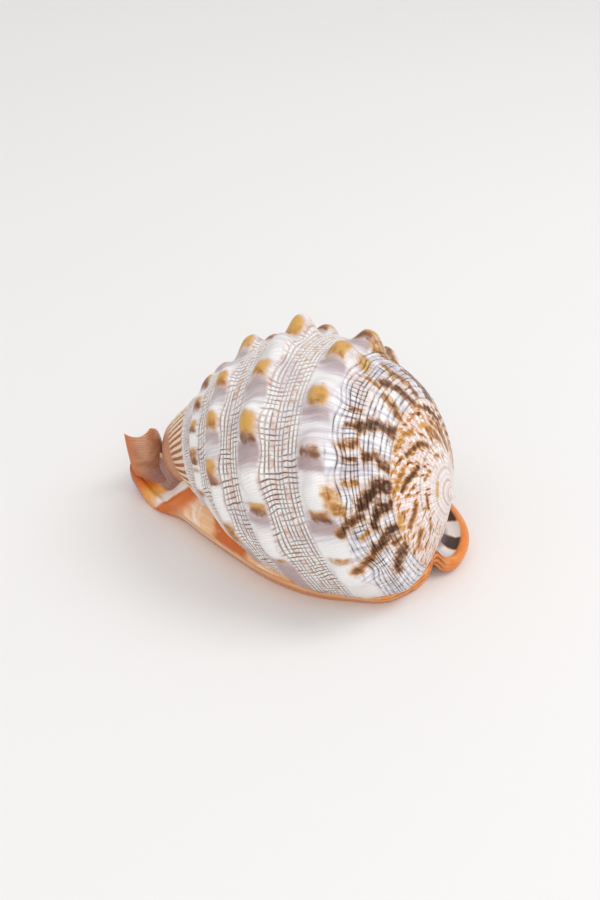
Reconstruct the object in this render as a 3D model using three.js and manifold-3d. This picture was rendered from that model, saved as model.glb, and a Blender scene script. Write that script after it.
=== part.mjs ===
import * as THREE from 'three';
import { ParametricGeometry } from 'three/addons/geometries/ParametricGeometry.js';
import { mergeVertices } from 'three/addons/utils/BufferGeometryUtils.js';
import Module from 'manifold-3d';

const wasm = await Module();
wasm.setup();

// All lengths in millimetres. The spire points to +X, the outer lip lies on the +Y side.

// Body whorl: a profile swept round a tilted axis, growing as it turns.
const APEX = new THREE.Vector3(66, 0, 46.3);
const AXIS_TILT = THREE.MathUtils.degToRad(14.3);
const GROWTH_PER_TURN = 1.9;
const ADVANCE_PER_TURN = 55;
const SPIRE_LENGTH = 30;
const NEAR_FRONT_LENGTH = 7;
const FAR_FRONT_LENGTH = 55;
const WIND_LIMIT = THREE.MathUtils.degToRad(100);
const BODY_FLOOR = 5;
// Distance back from the apex along the axis, and radius at the top of the shell.
const PROFILE = [
  [-1, 0], [-0.4, 2], [1.2, 3.4], [4.5, 12], [9, 23], [16, 35], [25, 43.5], [32, 46.5], [39, 49.3],
  [46, 52.2], [56, 54], [66, 53.8], [76, 52.4], [87, 48.8], [95, 44.6], [103, 39], [111, 32.7],
  [119, 26.4], [127, 20.5], [135, 13], [140, 0],
];
const BODY_LENGTH = PROFILE[PROFILE.length - 1][0];
const PROFILE_STEPS = 2 * (PROFILE.length - 1);
const BACK_STEPS = 54;
const FLOOR_STEPS = 6;
const BACK_HALF_ANGLE = THREE.MathUtils.degToRad(128);

// Rows of blunt knobs: distance from the apex, reach along and across the row, then each knob's
// angle round the axis and height.
const KNOB_ROWS = [
  {
    at: 39, along: 7.8, across: 6,
    knobs: [[-108, 5], [-66, 5], [-47, 6], [-21, 5], [6, 6], [35, 7], [58, 6], [81, 5], [104, 4]],
  },
  {
    at: 66, along: 7.3, across: 5.6,
    knobs: [[-92, 3.5], [-61, 4.5], [-38, 5.5], [-15, 5], [3, 5], [22, 8], [46, 6], [71, 5], [96, 4]],
  },
  {
    at: 87, along: 6.2, across: 5,
    knobs: [[-90, 2], [-75, 2.5], [-59, 3.5], [-36, 4], [-15, 4], [14, 5], [37, 4], [60, 3.5], [82, 3]],
  },
  {
    at: 103, along: 5, across: 4.4,
    knobs: [[-72, 1.5], [-53, 2], [-38, 2.5], [-22, 2.5], [-4, 2.5], [14, 2.5], [34, 2]],
  },
];
const KNOB_BLUNTNESS = 1.5;
const ROW_RIDGE = 1;

// Foot: the shield on the near side and the outer lip on the far side, round the mouth slit.
// Each station: rim x, y, z, then the mouth edge x, y, then 0 for shield or 1 for lip.
const FOOT = [
  [-84, -9.5, 7, -72, -3.5, 1],
  [-62, -20, 1.8, -57, -1.5, 1],
  [-45, -20, 1.5, -44, 2, 0.1],
  [-29, -24.5, 1.5, -28, 7, 0],
  [-9, -29.5, 1.5, -8, 12, 0],
  [8, -32.5, 1.5, 10, 14.5, 0],
  [26, -31.5, 1.5, 26, 14, 0],
  [43, -24.5, 1, 40, 10, 0],
  [52, -19, 1, 46, 7.5, 0],
  [57.5, -7, 1, 49, 6, 0],
  [59.5, 0.5, 3, 51, 6, 0.2],
  [60, 5, 8, 52, 7, 0.5],
  [64.5, 7, 5.5, 52.5, 8.5, 0.8],
  [67.5, 13, 4.5, 52, 10.5, 1],
  [66, 23.5, 5, 49, 13.5, 1],
  [59.5, 34.5, 5, 44, 16.5, 1],
  [47, 46, 4, 36, 20, 1],
  [30, 57, 3, 24, 24.5, 1],
  [8, 65, 2, 6, 25.5, 1],
  [-14, 65, 2, -12, 22.5, 1],
  [-34, 56, 2, -29, 16.5, 1],
  [-51, 41, 2, -44, 10, 1],
  [-63, 25, 2, -56, 5, 1],
  [-72, 9, 4, -66, 2, 0.8],
];
// Cross-sections from inside the body, over the rim and under to the mouth edge.
// Each point: millimetres in from the rim, share of the way to the mouth, millimetres up.
const SHIELD_SECTION = [
  [6, 0, 16], [-0.5, 0, 14], [-4.3, 0, 8.5], [-3, 0, 4], [-1.2, 0, 0.8], [2, 0, -2],
  [0, 0.4, 0.5], [0, 0.75, 1], [-1.5, 1, 0.5], [0, 1, 4], [-2, 1, 12],
];
const LIP_SECTION = [
  [20, 0, 10], [13, 0, 4.6], [6.5, 0, 3.2], [2.4, 0, 4.4], [-0.4, 0, 2.2], [2, 0, -2.6],
  [0, 0.4, -2.6], [0, 0.75, -1], [-1.5, 1, 0.5], [0, 1, 4], [-2, 1, 12],
];
const SECTION_WIDTH = 24;
const FOOT_STEPS = 64;
const SECTION_STEPS = 18;

// Siphonal canal: a trough with its open side down, bending up at the front end.
// Each point of its back: x, y, z, then the turn of the open side from down to front, in degrees.
const CANAL_SPINE = [
  [-46, 3, 9, 10], [-59, -1, 8.5, 20], [-68, -4, 11, 60], [-70, -5.5, 20, 80], [-71, -6.5, 32, 88],
];
const CANAL_RADIUS = 9;
const CANAL_SPREAD = THREE.MathUtils.degToRad(78);
const CANAL_WALL = 3.4;
const CANAL_FAR_CUT = 0.26;
const CANAL_TIP_WAVE = 0.04;
const CANAL_STEPS = 14;
const CANAL_RING = 16;

// Hollow of the mouth above the slit: centre line x, y, z with half width and half height.
const HOLLOW = [
  [-52, 7, 9, 3.5, 7], [-30, 13, 11, 5, 10], [-6, 20, 13, 7, 14], [18, 23, 14, 7.5, 15],
  [38, 17, 13, 6, 11], [48, 11, 10, 3.5, 6],
];
const HOLLOW_LEAN = THREE.MathUtils.degToRad(28);
const HOLLOW_STEPS = 20;
const HOLLOW_RING = 12;

const LIP_TEETH = 20;
const LIP_TOOTH = [1.6, 2.2, 2.6];
const SHIELD_FOLDS = 12;
const SHIELD_FOLD = [1.3, 2, 2.6];

const profile = new THREE.SplineCurve(PROFILE.map(([back, radius]) => new THREE.Vector2(back, radius)));

// Turns counted from the top of the shell; under the shell they run back to zero so the whorl closes.
function turns(angle) {
  const size = Math.abs(angle);
  let wound = size;
  if (size > WIND_LIMIT) {
    const past = (size - WIND_LIMIT) / (Math.PI - WIND_LIMIT);
    wound = WIND_LIMIT * (1 - past) * (1 + past * Math.PI / WIND_LIMIT);
  }
  return Math.sign(angle) * wound / (2 * Math.PI);
}

function knobLift(back, radius, angle) {
  let lift = 0;
  for (const row of KNOB_ROWS) {
    const offRow = (back - row.at) / row.across;
    lift += ROW_RIDGE * Math.exp(-offRow * offRow);
    for (const [degrees, height] of row.knobs) {
      const offKnob = radius * (angle - THREE.MathUtils.degToRad(degrees)) / row.along;
      lift += height * Math.exp(-Math.pow(offRow * offRow + offKnob * offKnob, KNOB_BLUNTNESS));
    }
  }
  return lift;
}

// Crowds the steps on the back of the shell, where the knobs are.
function bodyAngle(wholeShare) {
  const share = wholeShare % 1;
  const floorShare = FLOOR_STEPS / (BACK_STEPS + FLOOR_STEPS) / 2;
  if (share < floorShare) {
    return -Math.PI + share / floorShare * (Math.PI - BACK_HALF_ANGLE);
  }
  if (share > 1 - floorShare) {
    return Math.PI - (1 - share) / floorShare * (Math.PI - BACK_HALF_ANGLE);
  }
  return BACK_HALF_ANGLE * (2 * (share - floorShare) / (1 - 2 * floorShare) - 1);
}

function bodyPoint(alongShare, roundShare, target) {
  const angle = bodyAngle(roundShare);
  const { x: back, y: radius } = profile.getPoint(alongShare);
  const frontLength = angle > 0 ? FAR_FRONT_LENGTH : NEAR_FRONT_LENGTH;
  const wound = turns(angle) * Math.min(1, (BODY_LENGTH - back) / frontLength);
  const grown = radius * Math.pow(GROWTH_PER_TURN, wound);
  const reach = grown + knobLift(back, grown, angle) * Math.min(1, radius / 10);
  const along = back + ADVANCE_PER_TURN * wound * THREE.MathUtils.clamp(back / SPIRE_LENGTH, 0, 1);
  const up = reach * Math.cos(angle);
  target.x = APEX.x - along * Math.cos(AXIS_TILT) - up * Math.sin(AXIS_TILT);
  target.y = APEX.y + reach * Math.sin(angle);
  target.z = Math.max(APEX.z - along * Math.sin(AXIS_TILT) + up * Math.cos(AXIS_TILT), BODY_FLOOR);
}

function splineThrough(points) {
  const places = points.map((p) => new THREE.Vector3(...p));
  return new THREE.CatmullRomCurve3(places, false, 'catmullrom', 0.5);
}

const rimCurve = splineThrough(FOOT.map((s) => [s[0], s[1], s[2]]));
const mouthCurve = splineThrough(FOOT.map((s) => [s[3], s[4], s[5]]));

function footPoint(stationShare, wholeSection, target) {
  const sectionShare = wholeSection % 1;
  const rim = rimCurve.getPoint(stationShare);
  const mouth = mouthCurve.getPoint(stationShare);
  const lipShare = THREE.MathUtils.clamp(mouth.z, 0, 1);
  const inward = new THREE.Vector2(mouth.x - rim.x, mouth.y - rim.y);
  const width = inward.length();
  inward.normalize();
  const fit = Math.min(1, width / SECTION_WIDTH);
  const points = SHIELD_SECTION.map((shield, i) => {
    const mixed = shield.map((value, j) => THREE.MathUtils.lerp(value, LIP_SECTION[i][j], lipShare));
    return new THREE.Vector3(mixed[0] * fit + mixed[1] * width, mixed[2], 0);
  });
  const section = new THREE.CatmullRomCurve3(points, true, 'catmullrom', 0.5);
  const end = Math.min(1, Math.min(stationShare, 1 - stationShare) * FOOT_STEPS);
  const spot = section.getPoint(sectionShare).lerp(new THREE.Vector3(width / 2, 7, 0), 1 - end);
  target.x = rim.x + inward.x * spot.x;
  target.y = rim.y + inward.y * spot.x;
  target.z = Math.max(rim.z + spot.y, 0);
}

const canalBack = splineThrough(CANAL_SPINE.map((p) => [p[0], p[1], p[2]]));
const canalTurn = splineThrough(CANAL_SPINE.map((p) => [p[3], 0, 0]));

function canalPoint(alongShare, ringShare, target) {
  const side = ringShare < 0.5 ? 1 : -1;
  const share = ringShare < 0.5 ? 2 * ringShare : 2 - 2 * ringShare;
  const wave = CANAL_TIP_WAVE * (1 + Math.sin(2 * Math.PI * share));
  const cut = CANAL_FAR_CUT * Math.max(0, 2 * share - 1) + wave;
  const back = canalBack.getPoint(alongShare * (1 - cut));
  const turn = THREE.MathUtils.degToRad(canalTurn.getPoint(alongShare * (1 - cut)).x);
  const angle = CANAL_SPREAD * (2 * share - 1);
  const edge = Math.sqrt(1 - Math.pow(2 * share - 1, 6));
  const end = Math.sqrt(1 - Math.pow(2 * alongShare - 1, 6));
  const radius = CANAL_RADIUS + side * CANAL_WALL / 2 * edge * end;
  const open = CANAL_RADIUS - radius * Math.cos(angle);
  target.x = back.x - open * Math.sin(turn);
  target.y = back.y + radius * Math.sin(angle);
  target.z = back.z - open * Math.cos(turn);
}

const hollowCentre = splineThrough(HOLLOW.map((p) => [p[0], p[1], p[2]]));
const hollowSize = splineThrough(HOLLOW.map((p) => [p[3], p[4], 0]));

function hollowPoint(alongShare, wholeRing, target) {
  const ringShare = wholeRing % 1;
  const centre = hollowCentre.getPoint(alongShare);
  const size = hollowSize.getPoint(alongShare);
  const end = Math.sqrt(Math.max(0, 1 - Math.pow(2 * alongShare - 1, 6)));
  const angle = 2 * Math.PI * ringShare;
  const across = size.x * end * Math.cos(angle);
  const up = size.y * end * Math.sin(angle);
  target.x = centre.x;
  target.y = centre.y + across * Math.cos(HOLLOW_LEAN) + up * Math.sin(HOLLOW_LEAN);
  target.z = centre.z - across * Math.sin(HOLLOW_LEAN) + up * Math.cos(HOLLOW_LEAN);
}

function toSolid(geometry) {
  geometry.deleteAttribute('normal');
  geometry.deleteAttribute('uv');
  const merged = mergeVertices(geometry, 1e-3);
  const corners = merged.index.array;
  const kept = [];
  for (let i = 0; i < corners.length; i += 3) {
    const [a, b, c] = [corners[i], corners[i + 1], corners[i + 2]];
    if (a !== b && b !== c && c !== a) {
      kept.push(a, b, c);
    }
  }
  const mesh = new wasm.Mesh({
    numProp: 3,
    vertProperties: merged.attributes.position.array,
    triVerts: new Uint32Array(kept),
  });
  return new wasm.Manifold(mesh);
}

// Small rounded bumps across the mouth edge between two shares of the way round the foot.
function edgeBumps(count, first, last, size, up) {
  const bumps = [];
  for (let i = 0; i < count; i += 1) {
    const share = THREE.MathUtils.lerp(first, last, i / (count - 1));
    const spot = mouthCurve.getPoint(share);
    const heading = mouthCurve.getTangent(share);
    const bump = new THREE.IcosahedronGeometry(1, 0);
    bump.scale(...size);
    bump.rotateZ(Math.atan2(heading.y, heading.x));
    bump.translate(spot.x, spot.y, up);
    bumps.push(toSolid(bump));
  }
  return bumps;
}

// Runs the ring backwards so that the faces point out.
function sweptSolid(pointAt, steps, ring) {
  const turned = (along, round, target) => pointAt(along, 1 - round, target);
  return toSolid(new ParametricGeometry(turned, steps, ring));
}

const body = sweptSolid(bodyPoint, PROFILE_STEPS, BACK_STEPS + FLOOR_STEPS);
const hollow = sweptSolid(hollowPoint, HOLLOW_STEPS, HOLLOW_RING);
const foot = sweptSolid(footPoint, FOOT_STEPS, SECTION_STEPS);
const canal = sweptSolid(canalPoint, CANAL_STEPS, CANAL_RING);
const teeth = edgeBumps(LIP_TEETH, 0.6, 0.92, LIP_TOOTH, 4.5);
const folds = edgeBumps(SHIELD_FOLDS, 0.1, 0.36, SHIELD_FOLD, 4);

let shell = body.subtract(hollow).add(foot).add(canal);
for (const bump of [...teeth, ...folds]) {
  shell = shell.add(bump);
}

const whole = shell.getMesh();
const geometry = new THREE.BufferGeometry();
geometry.setAttribute('position', new THREE.BufferAttribute(whole.vertProperties, 3));
geometry.setIndex(new THREE.BufferAttribute(whole.triVerts, 1));
geometry.computeBoundingBox();
const middle = geometry.boundingBox.getCenter(new THREE.Vector3());
geometry.translate(-middle.x, -middle.y, -geometry.boundingBox.min.z);
geometry.computeVertexNormals();

const shellMaterial = new THREE.MeshStandardMaterial({
  color: 0xcfc0b4,
  roughness: 0.35,
  metalness: 0,
});
const shellMesh = new THREE.Mesh(geometry, shellMaterial);
shellMesh.name = 'shell';
const group = new THREE.Group();
group.name = 'bullmouth_helmet_shell';
group.add(shellMesh);

export default group;
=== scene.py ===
import math

import bmesh
import bpy
import numpy as np
from mathutils import Matrix, Vector, noise


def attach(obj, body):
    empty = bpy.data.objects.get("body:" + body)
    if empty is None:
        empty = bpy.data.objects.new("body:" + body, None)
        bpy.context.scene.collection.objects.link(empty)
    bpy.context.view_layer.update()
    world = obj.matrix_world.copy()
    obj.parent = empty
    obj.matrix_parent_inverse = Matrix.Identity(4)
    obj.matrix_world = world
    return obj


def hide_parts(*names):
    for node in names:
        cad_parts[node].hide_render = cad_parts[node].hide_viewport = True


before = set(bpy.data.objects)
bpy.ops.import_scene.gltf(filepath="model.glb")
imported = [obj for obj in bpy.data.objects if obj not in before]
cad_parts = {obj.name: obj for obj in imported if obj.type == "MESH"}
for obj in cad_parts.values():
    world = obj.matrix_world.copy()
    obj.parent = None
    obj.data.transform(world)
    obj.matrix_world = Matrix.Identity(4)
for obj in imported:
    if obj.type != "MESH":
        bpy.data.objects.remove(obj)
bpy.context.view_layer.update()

# Shape in millimetres, spire to +X and outer lip to +Y, before the move to the part's origin.
CENTRE = np.array([-5.1441, 9.0788, 0.0])
APEX = np.array([66.0, 0.0, 46.3])
AXIS_TILT = math.radians(14.3)
GROWTH_PER_TURN = 1.9
ADVANCE_PER_TURN = 55.0
SPIRE_LENGTH = 30.0
NEAR_FRONT_LENGTH = 7.0
FAR_FRONT_LENGTH = 55.0
WIND_LIMIT = math.radians(100)
BODY_FLOOR = 5.0
# Distance back from the apex along the axis, and radius at the top of the shell.
PROFILE = [
    (-1, 0), (-0.4, 2), (1.2, 3.4), (4.5, 12), (9, 23), (16, 35), (25, 43.5), (32, 46.5), (39, 49.3),
    (46, 52.2), (56, 54), (66, 53.8), (76, 52.4), (87, 48.8), (95, 44.6), (103, 39), (111, 32.7),
    (119, 26.4), (127, 20.5), (135, 13), (140, 0),
]
BODY_LENGTH = PROFILE[-1][0]
BODY_MIDDLE = np.array([5.0, 5.0, 30.0])
BACK_COLUMNS = 196
FLOOR_COLUMNS = 20
BACK_HALF_ANGLE = math.radians(128)
SPIRE_STEP = 0.62
FRONT_STEP = 0.8

# Zones of the back, measured like the profile: spire, shoulder, then bands and nets.
SPIRE_END = 14.5
SHOULDER_END = 35.0
NET_START = 37.0
NET_END = 115.0
MEAN_RADIUS = 50.0

# Rows of blunt knobs: place along the axis, reach along and across the row, the smooth band that
# carries it from and to, then each knob's angle and height.
KNOB_ROWS = [
    (39, 7.8, 6, 35.5, 47, [
        (-108, 5), (-66, 5), (-47, 6), (-21, 5), (6, 6), (35, 7), (58, 6), (81, 5), (104, 4),
    ]),
    (66, 7.3, 5.6, 62, 73.5, [
        (-92, 3.5), (-61, 4.5), (-38, 5.5), (-15, 5), (3, 5), (22, 8), (46, 6), (71, 5), (96, 4),
    ]),
    (87, 6.2, 5, 83, 93.5, [
        (-90, 2), (-75, 2.5), (-59, 3.5), (-36, 4), (-15, 4), (14, 5), (37, 4), (60, 3.5), (82, 3),
    ]),
    (103, 5, 4.4, 99, 107, [
        (-72, 1.5), (-53, 2), (-38, 2.5), (-22, 2.5), (-4, 2.5), (14, 2.5), (34, 2),
    ]),
]
# Colours met along each row at the angles in view, as shares of ochre, brown, violet and white.
TINTS = {
    "white": (0, 0, 0, 1),
    "lilac": (0, 0, 0.12, 0.25),
    "violet": (0, 0.1, 0.9, 0),
    "dusk": (0.1, 0.45, 1, 0),
    "pink": (0.3, 0.1, 0.3, 0.5),
    "ochre": (1, 0, 0, 0),
    "rust": (0.95, 0.35, 0, 0),
    "brown": (0.9, 0.85, 0.2, 0),
}
# The white on the upper side of each knob is partly the shell's own white and partly a painted highlight.
ROW_COLOURS = [
    [
        (-112, "white"), (-101, "white"), (-98.5, "rust"), (-96, "white"), (-92, "white"), (-87, "lilac"),
        (-83, "violet"), (-79, "dusk"), (-76, "brown"), (-73, "rust"), (-70, "white"), (-57, "white"),
        (-54, "violet"), (-51, "dusk"), (-48, "brown"), (-44, "pink"), (-40, "lilac"), (-34, "lilac"),
        (-29, "violet"), (-26, "rust"), (-21, "ochre"), (-16, "white"), (-10, "white"), (-6, "lilac"),
        (-2, "violet"), (1, "rust"), (6, "ochre"), (13, "ochre"), (18, "white"),
    ],
    [
        (-107, "violet"), (-101, "rust"), (-97, "white"), (-86, "white"), (-80, "violet"), (-76, "brown"),
        (-73, "ochre"), (-70.5, "white"), (-62, "white"), (-58, "pink"), (-53, "violet"), (-48, "dusk"),
        (-45, "brown"), (-42, "ochre"), (-37, "ochre"), (-33, "white"), (-29, "lilac"), (-21, "violet"),
        (-18, "rust"), (-14, "ochre"), (-10, "pink"), (-5, "white"), (3, "lilac"), (10, "lilac"),
        (13, "rust"), (18, "ochre"), (22, "white"),
    ],
    [
        (-104, "violet"), (-97, "rust"), (-87, "rust"), (-83, "white"), (-69, "white"), (-66, "brown"),
        (-61, "rust"), (-57, "ochre"), (-54, "pink"), (-50, "lilac"), (-44, "violet"), (-40.5, "rust"),
        (-36, "ochre"), (-32.5, "white"), (-28, "lilac"), (-22, "violet"), (-19.5, "rust"),
        (-15.5, "ochre"), (-12, "white"), (-4, "lilac"), (5, "violet"), (8, "rust"), (13, "ochre"),
        (17, "white"),
    ],
    [
        (-84, "white"), (-75, "rust"), (-72, "white"), (-65, "white"), (-62, "rust"), (-60, "white"),
        (-58, "brown"), (-51, "rust"), (-47, "white"), (-43, "white"), (-40, "brown"), (-36, "ochre"),
        (-32, "white"), (-25, "brown"), (-21, "ochre"), (-17, "white"), (-8, "brown"), (-3, "ochre"),
        (1, "white"), (9, "violet"), (13, "ochre"), (17, "white"),
    ],
]
# Past the last colour in view, each knob repeats this sequence of degrees from its top; the white past
# its top is partly a painted highlight.
FAR_COLOURS = [(-9, "violet"), (-6, "brown"), (-2, "ochre"), (4, "ochre"), (8, "white"), (12, "lilac")]
KNOB_BLUNTNESS = 1.5
ROW_RIDGE = 1.0

# Spiral cords: one wide and two narrow ones in each period, with a groove on every edge.
CORD_PERIOD = 5.4
CORD_GROOVES = (0.0, 1.5, 3.9)
CORD_ROWS = (0, 0.4, 1.1, 1.5, 1.9, 2.7, 3.5, 3.9, 4.3, 5.0)
CORD_HEIGHT = 0.3
GROOVE_WIDTH = 0.4
CORDS_START = 3 * CORD_PERIOD
CORDS_END = 23 * CORD_PERIOD + 3
GROWTH_LINES_PER_RADIAN = 24.0
GROWTH_SLANT = 0.13
WOBBLE = 0.35
# How far the cords above the first row bend round its knobs.
CORD_BEND = 2.6
# Width of the small blocks of the net.
BLOCK_WIDTH = 1.35
# A healed edge that crosses the shoulder.
SCAR_ANGLE = math.radians(-7)
SCAR_HEIGHT = 0.5

# Spire: seams between its whorls, measured like the knob rows.
SUTURES = (0.6, 1.8, 3.4, 6.7, SPIRE_END)
LAST_WHORL = SUTURES[-1] - SUTURES[-2]
WHORL_BULGE = 0.7
SPIRE_RIB = 0.3
SPIRE_RIBS_PER_LINE = 0.375
# Streaks on the spire drift back by this much for each radian of turn.
SPIRE_DRIFT = 9.0

# Front end: ribs round the old canal, past a low ridge.
FRONT_RIB_START = 117.5
FRONT_RIB_END = 131.0
FRONT_RIB = 0.5
LINES_PER_FRONT_RIB = 3
FRONT_RIDGE = 0.8

# Brown flames and streaks: half width, darkness, then the places and angles they run through.
FLAMES = [
    (2.2, 1, (15, -58), (18.5, -58), (20.5, -63), (23, -66), (25.5, -70)),
    (2.0, 0.9, (15, -70), (19, -71), (20.5, -77), (22, -81)),
    (1.9, 0.9, (15, -88), (17.5, -88.5), (20, -92), (23, -95), (26, -95)),
    (1.1, 0.6, (15, -97), (18, -98)),
    (2.3, 0.8, (15, -107), (18, -109), (20, -113), (22, -118)),
    (1.6, 0.8, (15, -45), (17, -44), (19, -41.5), (22.5, -43.5)),
    (2.0, 0.85, (15, -21), (18, -21.5), (20, -22.5), (22.5, -25.5), (25, -29)),
    (1.8, 0.5, (15, -7), (18, -4), (20, -3)),
    (1.8, 0.8, (14.5, 15), (18, 11.5), (22, 7.5), (23.5, 5)),
    (1.6, 0.6, (16, 25), (20, 22), (22.5, 20)),
    (0.9, 0.4, (26, -58), (31, -59.5)),
    (1.5, 0.6, (26, -38), (31, -41)),
    (1.4, 0.8, (25.5, -75), (29, -76), (33, -80), (36.5, -85)),
    (1.6, 0.6, (27, -97), (31, -101), (35, -104)),
    (1.0, 0.5, (24, 0), (28.5, 1.5)),
    (1.3, 0.5, (22, 16), (27, 20)),
    (1.8, 0.05, (31, 7), (33, 15)),
    (1.8, 0.35, (33.5, -73), (35, -64)),
    (0.7, 0.7, (25.5, -20), (30, -21.5)),
    (0.7, 0.7, (26, -29), (30.5, -30)),
    (0.7, 0.8, (26, -46), (31, -47)),
    (0.9, 0.3, (25, -84), (30, -88)),
    (1.0, 0.8, (7.5, -30), (8, -40), (9.5, -50), (11, -60)),
    (1.0, 0.35, (10.5, -40), (12.5, -58)),
    (1.0, 0.75, (7.3, 2), (8.5, -8), (9.5, -20), (10.5, -29)),
    (0.9, 0.35, (11, -6), (12.5, -18), (13.6, -31)),
    (0.8, 0.7, (5.3, -68), (5.5, -86)),
    (1.1, 0.7, (8, -75), (9, -84), (11, -93)),
    (1.3, 0.25, (12.6, -82), (13.6, -88)),
    (0.8, 0.6, (7, 36), (7.5, 22), (9, 14)),
    (0.8, 0.5, (12, 30), (12.6, 22), (13.6, 14)),
    (0.6, 0.5, (5, 18), (5.4, 6)),
    (0.6, 0.45, (5, -24), (5.8, -42)),
    (1.2, 0.6, (9, -106), (11.5, -118)),
    (0.7, 0.5, (6, -104), (7.2, -120)),
    (0.7, 0.15, (9.8, 15), (10.2, 5)),
    (0.5, 0.1, (3, -70), (3, -30)),
]
FLAME_OCHRE_REACH = 1.7
FLAME_BROWN_REACH = 1.2
# Flames out of view, spread over these degrees.
FAR_FLAMES = 26
FAR_FLAMES_FROM = 36
FAR_FLAMES_SPAN = 88

# Foot stations: rim x, y, z, then the mouth edge x, y, then 0 for shield or 1 for lip.
FOOT = [
    (-84, -9.5, 7, -72, -3.5, 1), (-62, -20, 1.8, -57, -1.5, 1), (-45, -20, 1.5, -44, 2, 0.1),
    (-29, -24.5, 1.5, -28, 7, 0), (-9, -29.5, 1.5, -8, 12, 0), (8, -32.5, 1.5, 10, 14.5, 0),
    (26, -31.5, 1.5, 26, 14, 0), (43, -24.5, 1, 40, 10, 0), (52, -19, 1, 46, 7.5, 0),
    (57.5, -7, 1, 49, 6, 0), (59.5, 0.5, 3, 51, 6, 0.2), (60, 5, 8, 52, 7, 0.5),
    (64.5, 7, 5.5, 52.5, 8.5, 0.8), (67.5, 13, 4.5, 52, 10.5, 1), (66, 23.5, 5, 49, 13.5, 1),
    (59.5, 34.5, 5, 44, 16.5, 1), (47, 46, 4, 36, 20, 1), (30, 57, 3, 24, 24.5, 1),
    (8, 65, 2, 6, 25.5, 1), (-14, 65, 2, -12, 22.5, 1), (-34, 56, 2, -29, 16.5, 1),
    (-51, 41, 2, -44, 10, 1), (-63, 25, 2, -56, 5, 1), (-72, 9, 4, -66, 2, 0.8),
]
# Cross-sections: millimetres in from the rim, share of the way to the mouth, millimetres up.
SHIELD_SECTION = [
    (6, 0, 16), (-0.5, 0, 14), (-4.3, 0, 8.5), (-3, 0, 4), (-1.2, 0, 0.8), (2, 0, -2), (0, 0.4, 0.5),
    (0, 0.75, 1), (-1.5, 1, 0.5), (0, 1, 4), (-2, 1, 12),
]
LIP_SECTION = [
    (20, 0, 10), (13, 0, 4.6), (6.5, 0, 3.2), (2.4, 0, 4.4), (-0.4, 0, 2.2), (2, 0, -2.6), (0, 0.4, -2.6),
    (0, 0.75, -1), (-1.5, 1, 0.5), (0, 1, 4), (-2, 1, 12),
]
SECTION_WIDTH = 24.0
FOOT_LENGTH = 330.0
FOOT_END = 1 / 64
FOOT_END_HEIGHT = 7.0
# Where the flap at the front ends, as a share of the foot, and how much later for each millimetre up.
FLAP_SHARE = 0.052
FLAP_SLANT = 0.0028
FLAP_HEIGHT = 1.2
REAR_RIDGE = 0.5
CREASE_DEPTH = 0.45
# Orange patches of the shield and bars of the gutter: the share of one of them, and their spacing.
PATCH_SHARE = 0.165
PATCH_SPACING = 0.1
BAR_SHARE = 0.603
BAR_SPACING = 0.073
FOOT_ROWS = 380
SECTION_COLUMNS = 60

# Canal back: x, y, z, then the turn of the open side from down to front, in degrees.
CANAL_SPINE = [
    (-46, 3, 9, 10), (-59, -1, 8.5, 20), (-68, -4, 11, 60), (-70, -5.5, 20, 80), (-71, -6.5, 32, 88),
]
CANAL_RADIUS = 9.0
CANAL_SPREAD = math.radians(78)
CANAL_WALL = 3.4
CANAL_FAR_CUT = 0.26
CANAL_TIP_WAVE = 0.04
CANAL_ROWS = 70
CANAL_COLUMNS = 36

# Hollow of the mouth: centre x, y, z, half width, half height.
HOLLOW = [
    (-52, 7, 9, 3.5, 7), (-30, 13, 11, 5, 10), (-6, 20, 13, 7, 14),
    (18, 23, 14, 7.5, 15), (38, 17, 13, 6, 11), (48, 11, 10, 3.5, 6),
]
HOLLOW_LEAN = math.radians(28)
HOLLOW_ROWS = 90
HOLLOW_COLUMNS = 48

# Ridges across the mouth's edges: how many, first and last share of the foot, half lengths, height.
TOOTH_ROWS = [
    (20, 0.6, 0.92, (2.2, 1.6, 2.6), 4.5),
    (12, 0.1, 0.36, (2.0, 1.3, 2.6), 4.0),
]
TOOTH_RINGS = 10
TOOTH_COLUMNS = 14

# Faces that meet at a larger angle keep a sharp edge.
SHARP_ANGLE = math.radians(40)
# Share of the usual mirror-like light that the surfaces give back.
SHINE = 0.32

# Camera in the millimetres of the shape, with its lens and frame.
CAMERA_PLACE = np.array([209.854, -356.426, 320.069])
CAMERA_RIGHT = Vector((0.85278, 0.52173, 0.0237))
CAMERA_UP = Vector((-0.30829, 0.46623, 0.82921))
CAMERA_LENS = 50.0
CAMERA_FRAME = 36.0

# Lights in metres and watts: place, size, power.
KEY_LIGHT = ((0.75, 0.45, 1.25), 0.7, 7)
FILL_LIGHT = ((0.6, -1.2, 1.1), 1.6, 6.5)
SKY_COLOUR = (0.94, 0.937, 0.935, 1)
SKY_STRENGTH = 0.79
FLOOR_HALF = 6

# Material of each part of the shell.
BODY, FOOT_PART, CANAL_PART, HOLLOW_PART, TEETH_PART = range(5)


def spline(points, share):
    """Points of a smooth curve through the given points, at shares from 0 to 1 of the way."""
    given = np.asarray(points, float)
    given = np.vstack([2 * given[0] - given[1], given, 2 * given[-1] - given[-2]])
    return through(given, np.clip(share, 0, 1) * (len(given) - 3))


def loop_spline(points, share):
    """The same for a closed curve; points may hold one curve for each share."""
    given = np.concatenate([points[..., -1:, :], points, points[..., :2, :]], axis=-2)
    return through(given, share * points.shape[-2])


def through(given, place):
    """The smooth curve between its given points, at places counted in points."""
    left = np.minimum(np.floor(place).astype(int), given.shape[-2] - 4)
    t = (place - left)[..., None]
    p0, p1, p2, p3 = (np.take(given, left + k, axis=-2) for k in range(4))
    cubic = (3 * p1 - p0 - 3 * p2 + p3) * t**3
    return 0.5 * (2 * p1 + (p2 - p0) * t + (2 * p0 - 5 * p1 + 4 * p2 - p3) * t**2 + cubic)


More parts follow.
